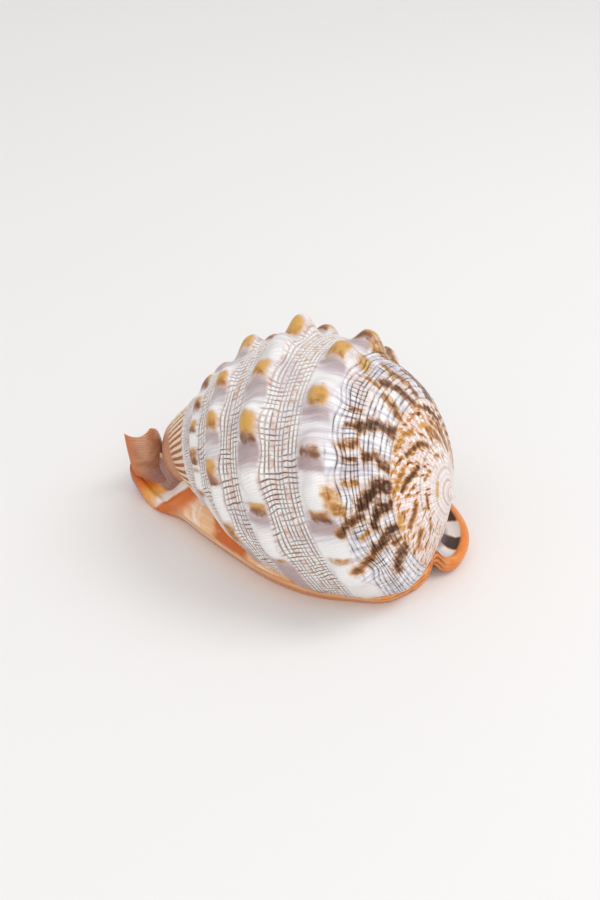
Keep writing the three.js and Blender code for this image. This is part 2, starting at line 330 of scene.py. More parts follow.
def turns(angle):
    """Turns counted from the top of the shell; under the shell they run back to zero."""
    size = np.abs(angle)
    past = np.clip((size - WIND_LIMIT) / (math.pi - WIND_LIMIT), 0, 1)
    back = WIND_LIMIT * (1 - past) * (1 + past * math.pi / WIND_LIMIT)
    return np.sign(angle) * np.where(size > WIND_LIMIT, back, size) / (2 * math.pi)


def window(value, low, high, soft):
    """1 between low and high, fading to 0 over soft on both sides."""
    rise = np.clip((value - low) / soft + 0.5, 0, 1)
    fall = np.clip((high - value) / soft + 0.5, 0, 1)
    return rise * rise * (3 - 2 * rise) * fall * fall * (3 - 2 * fall)


def rough(points, scale, seed):
    """Smooth noise from -1 to 1 at each point."""
    flat = points.reshape(-1, 3) * scale + seed
    values = np.fromiter((noise.noise(p) for p in flat), float, len(flat))
    return values.reshape(points.shape[:-1])


def grid_faces(rows, columns):
    """Quads of a tube that closes round its columns."""
    i, j = np.meshgrid(np.arange(rows - 1), np.arange(columns), indexing="ij")
    here = i * columns + j
    beside = i * columns + (j + 1) % columns
    quads = np.stack([here, beside, beside + columns, here + columns], -1)
    return quads.reshape(-1, 4).tolist()


def capped_faces(rows, columns):
    """Faces of a tube of rings, with a fan to one more point at each end."""
    faces = grid_faces(rows, columns)
    first = rows * columns
    end = first - columns
    for j in range(columns):
        nxt = (j + 1) % columns
        faces.append((first, nxt, j))
        faces.append((first + 1, end + j, end + nxt))
    return faces


def add_object(name, data):
    made = bpy.data.objects.new(name, data)
    bpy.context.scene.collection.objects.link(made)
    return made


def make_object(name, points, faces, part, values):
    """A mesh object from points in millimetres, with its shading values stored on the face corners."""
    mesh = bpy.data.meshes.new(name)
    mesh.from_pydata(((points - CENTRE) / 1000).tolist(), [], faces)
    mesh.update()
    for material in materials:
        mesh.materials.append(material)
    mesh.polygons.foreach_set("material_index", np.full(len(mesh.polygons), part, dtype=np.int32))
    corner_vertex = np.empty(len(mesh.loops), dtype=np.int32)
    mesh.loops.foreach_get("vertex_index", corner_vertex)
    for label in ("spot", "marks", "zones"):
        layer = mesh.attributes.new(label, "FLOAT_VECTOR", "CORNER")
        if label in values:
            layer.data.foreach_set("vector", values[label][corner_vertex].astype(np.float32).ravel())
    return add_object(name, mesh)


def capped_tube(name, points, part, values):
    """A tube of rings with a fan at each end."""

    def with_ends(grid):
        return np.vstack([grid.reshape(-1, 3), grid[0].mean(0), grid[-1].mean(0)])

    ended = {label: with_ends(grid) for label, grid in values.items()}
    return make_object(name, with_ends(points), capped_faces(*points.shape[:2]), part, ended)


def body_frame(cord, back, radius, angle):
    """Points of the whorl, and its radius there without cords and knobs."""
    front = np.where(angle > 0, FAR_FRONT_LENGTH, NEAR_FRONT_LENGTH)
    wound = turns(angle) * np.minimum(1, (BODY_LENGTH - back) / front)
    grown = radius * GROWTH_PER_TURN**wound
    reach = grown + body_lift(cord, back, grown, angle) * np.minimum(1, radius / 10)
    along = back + ADVANCE_PER_TURN * wound * np.clip(back / SPIRE_LENGTH, 0, 1)
    up = reach * np.cos(angle)
    x = APEX[0] - along * math.cos(AXIS_TILT) - up * math.sin(AXIS_TILT)
    y = APEX[1] + reach * np.sin(angle)
    z = APEX[2] - along * math.sin(AXIS_TILT) + up * math.cos(AXIS_TILT)
    return np.stack([x, y, np.maximum(z, BODY_FLOOR)], -1), grown


def bell(value, middle, reach):
    return np.exp(-((value - middle) / reach)**2)


def row_band(back):
    """How much a place belongs to one of the smooth bands that carry the knobs."""
    bands = [window(back, low, high, 2) for at, along, across, low, high, knobs in KNOB_ROWS]
    return np.clip(sum(bands), 0, 1)


def groove_gap(cord):
    """Distance to the nearest groove between two cords."""
    place = cord % CORD_PERIOD
    gaps = [np.abs(place - groove) for groove in CORD_GROOVES] + [CORD_PERIOD - place]
    return np.minimum.reduce(gaps)


def growth_phase(back, angle):
    return GROWTH_LINES_PER_RADIAN * angle + GROWTH_SLANT * back


def knob_lift(back, grown, angle):
    lift = np.zeros_like(back)
    for at, along, across, low, high, knobs in KNOB_ROWS:
        off_row = (back - at) / across
        lift += ROW_RIDGE * np.exp(-off_row**2)
        for degrees, height in knobs:
            off_knob = grown * (angle - math.radians(degrees)) / along
            lift += height * np.exp(-(off_row**2 + off_knob**2)**KNOB_BLUNTNESS)
    return lift


def spire_lift(back, angle):
    """Rounded whorls with short ribs beside the last suture."""
    lift = np.zeros_like(back)
    for low, high in zip(SUTURES, SUTURES[1:]):
        share = np.clip((back - low) / (high - low), 0, 1)
        lift += WHORL_BULGE * math.sqrt((high - low) / LAST_WHORL) * np.sqrt(np.sin(math.pi * share))
    ribs = np.cos(2 * math.pi * growth_phase(back, angle) * SPIRE_RIBS_PER_LINE)
    return lift + SPIRE_RIB * ribs * window(back, 8, 13, 2)


def body_lift(cord, back, grown, angle):
    lift = knob_lift(back, grown, angle) + spire_lift(back, angle)
    share = window(back, 15.5, 127, 2) * (1 - 0.85 * row_band(back))
    lift += CORD_HEIGHT * share * (1 - bell(groove_gap(cord), 0, GROOVE_WIDTH))
    ribs = np.cos(2 * math.pi * growth_phase(back, angle) / LINES_PER_FRONT_RIB)
    lift += FRONT_RIB * ribs * window(back, FRONT_RIB_START, FRONT_RIB_END, 3)
    lift += FRONT_RIDGE * bell(back, FRONT_RIB_START - 1, 0.9)
    lift += SCAR_HEIGHT * bell(angle * grown, SCAR_ANGLE * grown, 0.9) * window(back, 19, 36, 4)
    return lift


def flame_list():
    """The flames in view and seeded ones on the far side."""
    random = np.random.default_rng(7)
    far = []
    for k in range(FAR_FLAMES):
        place = 15 if k % 2 else random.uniform(23, 29)
        angle = FAR_FLAMES_FROM + FAR_FLAMES_SPAN * k / FAR_FLAMES + random.uniform(-2, 2)
        half, dark = random.uniform(1.2, 2.2), random.uniform(0.3, 1)
        far.append((half, dark, (place, angle), (place + 4, angle - 2), (place + 8, angle - 8)))
        low = random.uniform(4.5, 12)
        far.append((half / 2, dark, (low, angle), (low + 1, angle - 9), (low + 2.2, angle - 18)))
    return FLAMES + far


def flame_marks(back, slope, grown, angle):
    """Ochre and brown of the flames; slope is the length along the profile."""
    ochre = np.zeros_like(back)
    brown = np.zeros_like(back)
    along_line = np.linspace(-1, BODY_LENGTH, 600)
    slope_line = np.interp(along_line, back[:, 0], slope[:, 0])
    for half, dark, *path in flame_list():
        nearest = np.full_like(back, np.inf)
        for (place, degrees), (next_place, next_degrees) in zip(path, path[1:]):
            first, last = np.interp([place, next_place], along_line, slope_line)
            down = slope - first
            side = grown * (angle - math.radians(degrees))
            reach_down = last - first
            reach_side = grown * math.radians(next_degrees - degrees)
            share = (down * reach_down + side * reach_side) / (reach_down**2 + reach_side**2 + 1e-6)
            share = np.clip(share, 0, 1)
            nearest = np.minimum(nearest, (down - share * reach_down)**2 + (side - share * reach_side)**2)
        ochre = np.maximum(ochre, np.exp(-nearest / (FLAME_OCHRE_REACH * half)**2))
        core = np.exp(-(nearest / (FLAME_BROWN_REACH * half)**2)**1.5)
        brown = np.maximum(brown, dark * core)
    return ochre, brown


def row_marks(back, angle):
    """Ochre, brown, violet and white along the knob rows."""
    marks = np.zeros((4, *back.shape))
    for (at, along, across, low, high, knobs), seen in zip(KNOB_ROWS, ROW_COLOURS):
        colours = list(seen)
        for degrees, height in knobs:
            far = [(degrees + off, name) for off, name in FAR_COLOURS]
            colours += [colour for colour in far if colour[0] > colours[-1][0]]
        places = np.radians([place for place, name in colours])
        tints = np.array([TINTS[name] for place, name in colours])
        patch = window(back, low + 0.5, high - 2, 4)
        band = window(back, low, high, 2)
        for mark, tint, reach in zip(marks, tints.T, (patch, patch, band, band)):
            mark += reach * np.interp(angle, places, tint)
    return marks


def body_marks(back, slope, grown, angle):
    """Ochre, brown and violet of rows and flames together, then the white of the rows."""
    ochre, brown, violet, white = row_marks(back, angle)
    flame_ochre, flame_brown = flame_marks(back, slope, grown, angle)
    marks = np.stack([np.maximum(ochre, flame_ochre), np.maximum(brown, flame_brown), violet], -1)
    return marks, white


def make_body():
    fine = spline(PROFILE, np.linspace(0, 1, 4000))
    length = np.concatenate([[0], np.cumsum(np.linalg.norm(np.diff(fine, axis=0), axis=1))])

    def even_stops(low, high, step):
        first, last = np.interp([low, high], fine[:, 0], length)
        stops = np.linspace(first, last, int((last - first) / step), endpoint=False)
        return np.interp(stops, length, fine[:, 0])

    periods = np.arange(CORDS_START, CORDS_END, CORD_PERIOD)
    corded = (periods[:, None] + np.array(CORD_ROWS)).ravel()
    spire_stops = even_stops(-0.99, CORDS_START, SPIRE_STEP)
    front_stops = even_stops(corded[-1] + 0.5, BODY_LENGTH - 0.05, FRONT_STEP)
    cord_line = np.concatenate([spire_stops, corded, front_stops])
    dorsal = np.linspace(-BACK_HALF_ANGLE, BACK_HALF_ANGLE, BACK_COLUMNS)
    ventral = np.linspace(BACK_HALF_ANGLE, 2 * math.pi - BACK_HALF_ANGLE, FLOOR_COLUMNS + 2)[1:-1]
    ventral = np.where(ventral > math.pi, ventral - 2 * math.pi, ventral)
    cord, angle = np.meshgrid(cord_line, np.concatenate([dorsal, ventral]), indexing="ij")
    wander = 0.4 * np.sin(2 * angle + cord / 17) + 0.25 * np.sin(5 * angle - cord / 9)
    back = cord + wander * window(cord, 20, 122, 8)
    first_row = KNOB_ROWS[0]
    beside = sum(bell(angle, math.radians(degrees), 0.14) for degrees, height in first_row[-1])
    back = back + CORD_BEND * (0.4 - beside) * bell(cord, first_row[0] - 5, 5)
    radius = np.interp(back, fine[:, 0], fine[:, 1])
    slope = np.interp(back, fine[:, 0], length)
    points, grown = body_frame(cord, back, radius, angle)
    shift = rough(points, 0.06, 3.0)[..., None]
    outward = points - BODY_MIDDLE
    outward /= np.linalg.norm(outward, axis=-1, keepdims=True)
    points = points + outward * shift * WOBBLE * (points[..., 2:] > BODY_FLOOR + 0.01)
    marks, white = body_marks(back, slope, grown, angle)
    spot = np.stack([cord, angle, growth_phase(back, angle)], -1)
    zones = np.stack([row_band(back), white, back], -1)
    return capped_tube("body", points, BODY, {"spot": spot, "marks": marks, "zones": zones})


def foot_relief(share, up):
    """Layered ridges at the rear corner, a flap at the front and a crease along the shield."""
    ridges = REAR_RIDGE * np.sin(2 * math.pi * (up / 2.6 + 3 * share)) * window(share, 0.34, 0.47, 0.05)
    ahead = share - FLAP_SLANT * up
    flap = FLAP_HEIGHT * np.clip((FLAP_SHARE + 0.03 - ahead) / 0.03, 0, 1)
    flap = flap * window(ahead, FLAP_SHARE, 1, 0.004) * window(up, 1, 14, 3)
    crease = CREASE_DEPTH * bell(up, 4.6 + 0.8 * np.sin(40 * share), 0.6) * window(share, 0.1, 0.33, 0.03)
    return ridges + flap - crease


def make_foot():
    share = np.linspace(0.0004, 0.9996, FOOT_ROWS)
    rim = spline([s[:3] for s in FOOT], share)
    mouth = spline([s[3:] for s in FOOT], share)
    lip = np.clip(mouth[:, 2], 0, 1)[:, None, None]
    inward = mouth[:, :2] - rim[:, :2]
    width = np.linalg.norm(inward, axis=1)
    inward /= width[:, None]
    mixed = np.array(SHIELD_SECTION) * (1 - lip) + np.array(LIP_SECTION) * lip
    fit = np.minimum(1, width / SECTION_WIDTH)[:, None]
    corners = np.stack([mixed[..., 0] * fit + mixed[..., 1] * width[:, None], mixed[..., 2]], -1)
    ring = np.arange(SECTION_COLUMNS) / SECTION_COLUMNS
    section = loop_spline(corners, ring)
    edge = np.clip(np.minimum(share, 1 - share) / FOOT_END, 0, 1)
    end = np.sqrt(1 - (1 - edge)**2)[:, None]
    inset = section[..., 0] * end + width[:, None] / 2 * (1 - end)
    up = section[..., 1] * end + FOOT_END_HEIGHT * (1 - end)
    inset = inset - foot_relief(share[:, None], up) * window(ring, 0.1, 0.42, 0.1) * end
    x = rim[:, :1] + inward[:, :1] * inset
    y = rim[:, 1:2] + inward[:, 1:2] * inset
    z = np.maximum(rim[:, 2:] + up, 0)
    points = np.stack([x, y, z], -1)
    to_mouth = np.clip(inset / width[:, None], 0, 1)
    spot = np.stack(np.broadcast_arrays(share[:, None], to_mouth, inset), -1)
    marks = np.stack(np.broadcast_arrays(up, ring, 0.0), -1)
    return capped_tube("foot", points, FOOT_PART, {"spot": spot, "marks": marks})


def make_canal():
    along = np.linspace(0.002, 0.998, CANAL_ROWS)
    half = np.linspace(0, 1, CANAL_COLUMNS)
    share = np.concatenate([half, half[-2:0:-1]])
    side = np.concatenate([np.ones(CANAL_COLUMNS), -np.ones(CANAL_COLUMNS - 2)])
    cut = CANAL_FAR_CUT * np.maximum(0, 2 * share - 1)
    cut = cut + CANAL_TIP_WAVE * (1 + np.sin(2 * math.pi * share))
    place = along[:, None] * (1 - cut)
    spine = spline(CANAL_SPINE, place)
    turn = np.radians(spine[..., 3])
    angle = CANAL_SPREAD * (2 * share - 1)
    edge = np.sqrt(np.maximum(0, 1 - (2 * share - 1)**6))
    end = np.sqrt(1 - (2 * along - 1)**6)[:, None]
    radius = CANAL_RADIUS + side * CANAL_WALL / 2 * edge * end
    opened = CANAL_RADIUS - radius * np.cos(angle)
    x = spine[..., 0] - opened * np.sin(turn)
    y = spine[..., 1] + radius * np.sin(angle)
    z = spine[..., 2] - opened * np.cos(turn)
    points = np.stack([x, y, z], -1)
    rows, columns = points.shape[:2]
    faces = grid_faces(rows, columns)
    base = (rows - 1) * columns
    for j in range(CANAL_COLUMNS - 1):
        a, b = j, j + 1
        c, d = (columns - b) % columns, (columns - a) % columns
        quad = [a, b] + [k for k in (c, d) if k not in (a, b)]
        faces.append(tuple(reversed(quad)))
        faces.append(tuple(base + k for k in quad))
    spot = np.stack(np.broadcast_arrays(place, share, side), -1)
    return make_object("canal", points.reshape(-1, 3), faces, CANAL_PART, {"spot": spot.reshape(-1, 3)})


def make_hollow():
    along = np.linspace(0.001, 0.999, HOLLOW_ROWS)
    centre = spline(HOLLOW, along)[:, None]
    end = np.sqrt(1 - (2 * along - 1)**6)[:, None]
    angle = np.linspace(0, 2 * math.pi, HOLLOW_COLUMNS + 1)[:-1]
    across = centre[..., 3] * end * np.cos(angle)
    up = centre[..., 4] * end * np.sin(angle)
    x = np.broadcast_to(centre[..., 0], across.shape)
    y = centre[..., 1] + across * math.cos(HOLLOW_LEAN) + up * math.sin(HOLLOW_LEAN)
    z = centre[..., 2] - across * math.sin(HOLLOW_LEAN) + up * math.cos(HOLLOW_LEAN)
    return capped_tube("hollow", np.stack([x, y, z], -1), HOLLOW_PART, {})


def make_teeth():
    """Rounded ridges across both edges of the mouth."""
    points, faces = [], []
    turn = np.linspace(0, 2 * math.pi, TOOTH_COLUMNS + 1)[:-1]
    tilt = np.linspace(0, math.pi, TOOTH_RINGS + 2)[1:-1, None]
    ball = np.stack(np.broadcast_arrays(
        np.cos(tilt), np.sin(tilt) * np.cos(turn), np.sin(tilt) * np.sin(turn)), -1)
    ball_faces = capped_faces(TOOTH_RINGS, TOOTH_COLUMNS)
    unit = np.vstack([ball.reshape(-1, 3), [[1, 0, 0], [-1, 0, 0]]])
    mouth = [s[3:5] for s in FOOT]
    for count, first, last, size, up in TOOTH_ROWS:
        for share in np.linspace(first, last, count):
            spot, next_spot = spline(mouth, np.array([share, share + 0.002]))
            ahead = next_spot - spot
            heading = math.atan2(ahead[1], ahead[0]) + math.pi / 2
            local = unit * size
            c, s = math.cos(heading), math.sin(heading)
            x = spot[0] + c * local[:, 0] - s * local[:, 1]
            y = spot[1] + s * local[:, 0] + c * local[:, 1]
            start = sum(len(p) for p in points)
            points.append(np.stack([x, y, up + local[:, 2]], -1))
            faces += [tuple(start + k for k in face) for face in ball_faces]
    return make_object("teeth", np.vstack(points), faces, TEETH_PART, {})


def face_out(made):
    """Turns every face of a closed mesh outwards."""
    held = bmesh.new()
    held.from_mesh(made.data)
    bmesh.ops.recalc_face_normals(held, faces=held.faces)
    held.to_mesh(made.data)
    held.free()


class Value:
    """A value worked out by a material's nodes; sums and products with it add more nodes."""

    def __init__(self, shade, socket):
        self.shade = shade
        self.socket = socket

    def __add__(self, other):
        return self.shade.math("ADD", self, other)

    def __mul__(self, other):
        return self.shade.math("MULTIPLY", self, other)

    def __sub__(self, other):
        return self.shade.math("SUBTRACT", self, other)

    def __rsub__(self, other):
        return self.shade.math("SUBTRACT", other, self)

    __radd__ = __add__
    __rmul__ = __mul__


class Shade:
    """Builds one material's nodes from nested calls. Arguments are numbers, colours or values."""

    def __init__(self, name):
        self.material = bpy.data.materials.new(name)
        self.material.use_nodes = True
        self.nodes = self.material.node_tree.nodes
        self.links = self.material.node_tree.links
        self.surface = self.nodes["Principled BSDF"]

    def give(self, socket, value):
        if isinstance(value, Value):
            self.links.new(value.socket, socket)
        elif isinstance(value, tuple) and len(value) == 3 and socket.type == "RGBA":
            socket.default_value = (*value, 1)
        else:
            socket.default_value = value

    def values(self, name):
        """The three numbers stored on the mesh under a name."""
        stored = self.nodes.new("ShaderNodeAttribute")
        stored.attribute_name = name
        split = self.nodes.new("ShaderNodeSeparateXYZ")
        self.links.new(stored.outputs["Vector"], split.inputs[0])
        return [Value(self, output) for output in split.outputs]

    def object_place(self):
        return Value(self, self.nodes.new("ShaderNodeTexCoord").outputs["Object"])

    def math(self, operation, a, b=0.0):
        made = self.nodes.new("ShaderNodeMath")
        made.operation = operation
        self.give(made.inputs[0], a)
        self.give(made.inputs[1], b)
        return Value(self, made.outputs[0])

    def off(self, value, middle):
        """Distance of a value from a middle."""
        return self.math("ABSOLUTE", value - middle)

    def step(self, value, low, high):
        """Rises smoothly from 0 at low to 1 at high; falls if low is above high."""
        made = self.nodes.new("ShaderNodeMapRange")
        made.interpolation_type = "SMOOTHSTEP"
        self.give(made.inputs["Value"], value)
        made.inputs["From Min"].default_value = low
        made.inputs["From Max"].default_value = high
        return Value(self, made.outputs["Result"])

    def within(self, value, low, high, soft):
        """1 between low and high, fading to 0 over soft on both sides of each."""
        return self.step(value, low - soft, low + soft) * self.step(value, high + soft, high - soft)

    def point(self, x, y, z=0.0):
        made = self.nodes.new("ShaderNodeCombineXYZ")
        for socket, value in zip(made.inputs, (x, y, z)):
            self.give(socket, value)
        return Value(self, made.outputs[0])

    def noise(self, place, scale, detail=2.0, warp=0.0):
        made = self.nodes.new("ShaderNodeTexNoise")
        self.give(made.inputs["Vector"], place)
        made.inputs["Scale"].default_value = scale
        made.inputs["Detail"].default_value = detail
        made.inputs["Distortion"].default_value = warp
        return Value(self, made.outputs["Fac"])

    def chance(self, place):
        """A random number from 0 to 1, the same all over one whole-numbered cell."""
        made = self.nodes.new("ShaderNodeTexWhiteNoise")
        made.noise_dimensions = "3D"
        self.give(made.inputs["Vector"], place)
        return Value(self, made.outputs["Value"])

    def mix(self, share, a, b):
        made = self.nodes.new("ShaderNodeMix")
        made.data_type = "RGBA"
        self.give(made.inputs["Factor"], share)
        self.give(made.inputs[6], a)
        self.give(made.inputs[7], b)
        return Value(self, made.outputs[2])

    def lines(self, phase, width, soft):
        """1 on thin lines half way between whole numbers of the phase."""
        return self.step(self.off(self.math("FRACT", phase), 0.5), width + soft, width)

    def finish(self, colour, roughness, height=None, depth=0.0):
        """The material, with a bump of the given depth in metres where a height is given."""
        self.give(self.surface.inputs["Base Color"], colour)
        self.give(self.surface.inputs["Roughness"], roughness)
        self.surface.inputs["Specular IOR Level"].default_value = SHINE
        if height is not None:
            bump = self.nodes.new("ShaderNodeBump")
            bump.inputs["Distance"].default_value = depth
            self.give(bump.inputs["Height"], height)
            self.links.new(bump.outputs["Normal"], self.surface.inputs["Normal"])
        return self.material


def tone(red, green, blue):
    """A colour as it looks on screen, 0 to 255, as the linear values that shaders take."""
    shares = [value / 255 for value in (red, green, blue)]
    return tuple(c / 12.92 if c < 0.04045 else ((c + 0.055) / 1.055)**2.4 for c in shares)


class BackShade(Shade):
    """Material of the whorl and spire, with the places, noises and lines that its zones share."""

    def __init__(self):
        super().__init__("shell_back")
        self.cord, self.angle, self.growth = self.values("spot")
        self.ochre, self.brown, self.violet = self.values("marks")
        self.band, self.white, self.back = self.values("zones")
        self.place = self.point(self.back, self.angle * MEAN_RADIUS)
        self.broad = self.noise(self.place, 0.05, 2)
        self.middle = self.noise(self.place, 0.25, 3)
        along_cords = self.point(self.cord * 0.75, self.angle * 9.0)
        self.threads = self.noise(along_cords, 1.0, 2)
        along_growth = self.point(self.back * 0.06, self.growth * 1.1)
        self.streaks = self.noise(along_growth, 1.0, 3)
        self.net = self.within(self.back, NET_START, NET_END, 2) * (1 - self.band)
        self.shoulder = self.within(self.back, SPIRE_END, SHOULDER_END, 0.7)
        self.spire = self.step(self.back, SPIRE_END + 0.4, SPIRE_END - 0.4)
        self.draw_lines()

    def draw_lines(self):
        """Grooves between the cords, and growth lines that cut the cords into beads."""
        inside = self.math("FRACT", self.cord * (1 / CORD_PERIOD)) * CORD_PERIOD
        gap = self.off(inside, CORD_PERIOD)
        for groove in CORD_GROOVES:
            gap = self.math("MINIMUM", gap, self.off(inside, groove))
        self.grooves = self.step(gap, 0.42, 0.05)
        self.thin_grooves = self.step(gap, 0.24, 0.04)
        self.wide = self.step(inside, 1.4, 1.6) * self.step(inside, 4.0, 3.8)
        self.bead_phase = self.growth + self.broad * 4.0 + self.middle * 0.6
        faint = self.noise(self.place, 0.13, 2)
        bead_ink = 0.3 + self.step(faint, 0.38, 0.6) * 0.65
        groove_ink = 0.35 + self.step(faint, 0.6, 0.4) * 0.4
        beads = self.lines(self.bead_phase, 0.02, 0.2) * bead_ink
        self.crossed = self.math("MAXIMUM", beads, self.grooves * groove_ink)
        self.fine_growth = self.lines(self.bead_phase * 2.0, 0.06, 0.22)


def band_colour(sh):
    """Smooth bands: lavender, streaked with white along the growth lines."""
    hair = sh.lines(sh.cord * 1.15, 0.1, 0.25)
    colour = sh.mix(sh.step(sh.streaks, 0.36, 0.62), tone(206, 196, 203), tone(234, 231, 232))
    colour = sh.mix(sh.step(sh.violet, 0.0, 1.0) * 0.8, colour, tone(172, 144, 144))
    # White of the rows: partly the shell's own white, partly a painted highlight on the upper side of
    # each knob.
    colour = sh.mix(sh.step(sh.white, 0.1, 1.0) * 0.85, colour, tone(243, 241, 239))
    colour = sh.mix(hair * 0.04, colour, tone(140, 128, 140))
    return sh.mix(sh.fine_growth * 0.04, colour, tone(132, 112, 114))


def net_colour(sh):
    """Small blocks between the bands, pinker on the wide cords."""
    block = sh.math("FLOOR", sh.cord * (1 / BLOCK_WIDTH))
    chance = sh.chance(sh.point(sh.math("FLOOR", sh.bead_phase), block))
    blush = (0.3 + sh.wide) * chance * sh.step(sh.middle, 0.3, 0.6)
    colour = sh.mix(blush, tone(244, 240, 237), tone(222, 190, 174))
    return sh.mix(sh.step(sh.broad, 0.5, 0.66) * 0.5, colour, tone(206, 198, 208))


def shoulder_colour(sh):
    """White cords, lavender between the growth lines, a few dark lines across."""
    colour = sh.mix(sh.step(sh.streaks, 0.38, 0.58), tone(206, 200, 212), tone(246, 244, 243))
    colour = sh.mix(sh.step(sh.threads, 0.5, 0.66) * 0.55, colour, tone(176, 168, 184))
    colour = sh.mix(sh.step(sh.broad, 0.52, 0.66) * 0.5, colour, tone(232, 206, 196))
    across = sh.within(sh.back, 24, 32, 1.5) * sh.lines(sh.bead_phase * 0.8, 0.04, 0.2)
    across = across * sh.step(sh.noise(sh.place, 0.09, 2), 0.42, 0.56)
    return sh.mix(across * 0.75, colour, tone(104, 80, 72))


def spire_colour(sh):
    """Pinkish white, short ribs with rusty gaps, flecks along the whorls."""
    drift = sh.back + sh.angle * SPIRE_DRIFT
    flecks = sh.noise(sh.point(drift * 0.9, sh.angle * 6.0), 1.0, 3)
    colour = sh.mix(sh.step(sh.streaks, 0.38, 0.6), tone(228, 206, 204), tone(247, 241, 237))
    rib_turn = (sh.growth + sh.middle) * (2 * math.pi * SPIRE_RIBS_PER_LINE)
    rib = sh.step(sh.math("COSINE", rib_turn), -0.3, 0.7)
    rusty = sh.within(sh.back, 8.0, 14.3, 1.2) * (1 - rib)
    colour = sh.mix(rusty * sh.step(flecks, 0.4, 0.55), colour, tone(208, 148, 96))
    on_whorls = sh.step(sh.back, 3.5, 5.5)
    colour = sh.mix(sh.step(flecks, 0.53, 0.62) * on_whorls, colour, tone(198, 132, 62))
    colour = sh.mix(sh.step(flecks, 0.6, 0.68) * on_whorls, colour, tone(98, 58, 28))
    rings = sh.lines(sh.back * 1.4, 0.1, 0.25)
    return sh.mix(rings * 0.16, colour, tone(150, 108, 92))


def with_seams(sh, colour):
    for suture in SUTURES:
        seam = sh.step(sh.off(sh.back, suture), 0.35, 0.05)
        colour = sh.mix(seam * sh.middle * 0.7, colour, tone(160, 116, 88))
    return colour


def with_patches(sh, colour):
    """Ochre and brown patches, torn along the cords on the shoulder and spire."""
    above_rows = sh.step(sh.back, NET_START, NET_START - 3)
    on_cords = above_rows * sh.step(sh.back, 12, 16)
    torn = (sh.threads - 0.5) * (0.3 + on_cords * 0.5) + (sh.streaks - 0.5) * 0.5
    torn = torn + (sh.noise(sh.place, 0.6, 3) - 0.5) * (0.25 + above_rows * 0.6)
    torn = torn + (sh.middle - 0.5) * 0.9
    fray = torn * sh.step(sh.ochre, 0.02, 0.25)
    ochre = sh.ochre + fray
    brown = sh.brown + fray
    golden = sh.mix(sh.step(brown, 0.05, 0.5), tone(212, 160, 72), tone(170, 108, 46))
    colour = sh.mix(sh.step(ochre, 0.15, 0.95) * 0.96, colour, golden)
    deep = sh.mix(sh.step(sh.back, SHOULDER_END, NET_START), tone(62, 34, 16), tone(104, 66, 42))
    colour = sh.mix(sh.step(brown, 0.3, 1.0) * 0.94, colour, deep)
    return sh.mix(sh.fine_growth * sh.band * 0.06, colour, tone(120, 92, 80))


def with_dark_lines(sh, colour):
    """Grooves of the shoulder and lines of the net, which fade towards the top of the shell."""
    groove_dark = 0.25 + sh.step(sh.threads, 0.4, 0.6) * 0.6
    colour = sh.mix(sh.shoulder * sh.thin_grooves * groove_dark, colour, tone(58, 42, 40))
    ink = sh.mix(sh.step(sh.broad, 0.35, 0.65), tone(78, 48, 40), tone(120, 74, 46))
    net_dark = 0.5 + sh.step(sh.angle, -0.25, -0.95) * 0.45
    return sh.mix(sh.crossed * sh.net * net_dark, colour, ink)


def with_front_end(sh, colour):
    """Pale ribs with rusty gaps, then orange pink."""
    front = sh.within(sh.back, FRONT_RIB_START - 1, FRONT_RIB_END, 1)
    rib_turn = sh.growth * (2 * math.pi / LINES_PER_FRONT_RIB)
    ribs = sh.step(sh.math("COSINE", rib_turn), -0.4, 0.4)
    colour = sh.mix(front, colour, sh.mix(ribs, tone(172, 106, 66), tone(238, 216, 188)))
    tip = sh.mix(sh.middle, tone(216, 166, 136), tone(194, 132, 100))
    return sh.mix(sh.step(sh.back, FRONT_RIB_END - 3, FRONT_RIB_END + 1), colour, tip)


def with_brown_base(sh, colour):
    """Brown under the whorl, where it is seen only through the mouth."""
    beneath = sh.step(sh.off(sh.angle, 0.0), 2.22, 2.3) * sh.step(sh.back, 55, 65)
    return sh.mix(beneath, colour, sh.mix(sh.middle, tone(128, 72, 40), tone(196, 136, 92)))


def back_relief(sh):
    """Sunk lines and a fine grain."""
    grain = sh.noise(sh.place, 1.1, 2) * 0.3
    sunk = sh.crossed * sh.net * 0.9 + sh.grooves * sh.shoulder * 0.8
    return grain - sunk - sh.fine_growth * (1 - sh.spire) * 0.04


def body_material():
    sh = BackShade()
    colour = sh.mix(sh.net, band_colour(sh), net_colour(sh))
    colour = sh.mix(sh.shoulder, colour, shoulder_colour(sh))
    colour = sh.mix(sh.spire, colour, spire_colour(sh))
    colour = with_patches(sh, with_seams(sh, colour))
    colour = with_front_end(sh, with_dark_lines(sh, colour))
    colour = with_brown_base(sh, colour)
    return sh.finish(colour, 0.2 + sh.middle * 0.22, back_relief(sh), 0.0004)


class CallusShade(Shade):
    """Material of the foot, with the places and noises that its zones share."""

    def __init__(self):
        super().__init__("shell_callus")
        self.share, self.to_mouth, self.inset = self.values("spot")
        self.up, self.ring = self.values("marks")[:2]
        self.around = self.share * FOOT_LENGTH
        place = self.point(self.around, self.ring * 60.0)
        self.broad = self.noise(place, 0.045, 3, 0.4)
        self.middle = self.noise(place, 0.15, 3, 0.6)
        stretched = self.point(self.around * 0.2, self.ring * 160.0)
        self.layers = self.noise(stretched, 0.4, 3)

    def wavy(self, value, wave):
        """A value shifted by the middle noise, for an uneven border."""
        return value + self.middle * wave


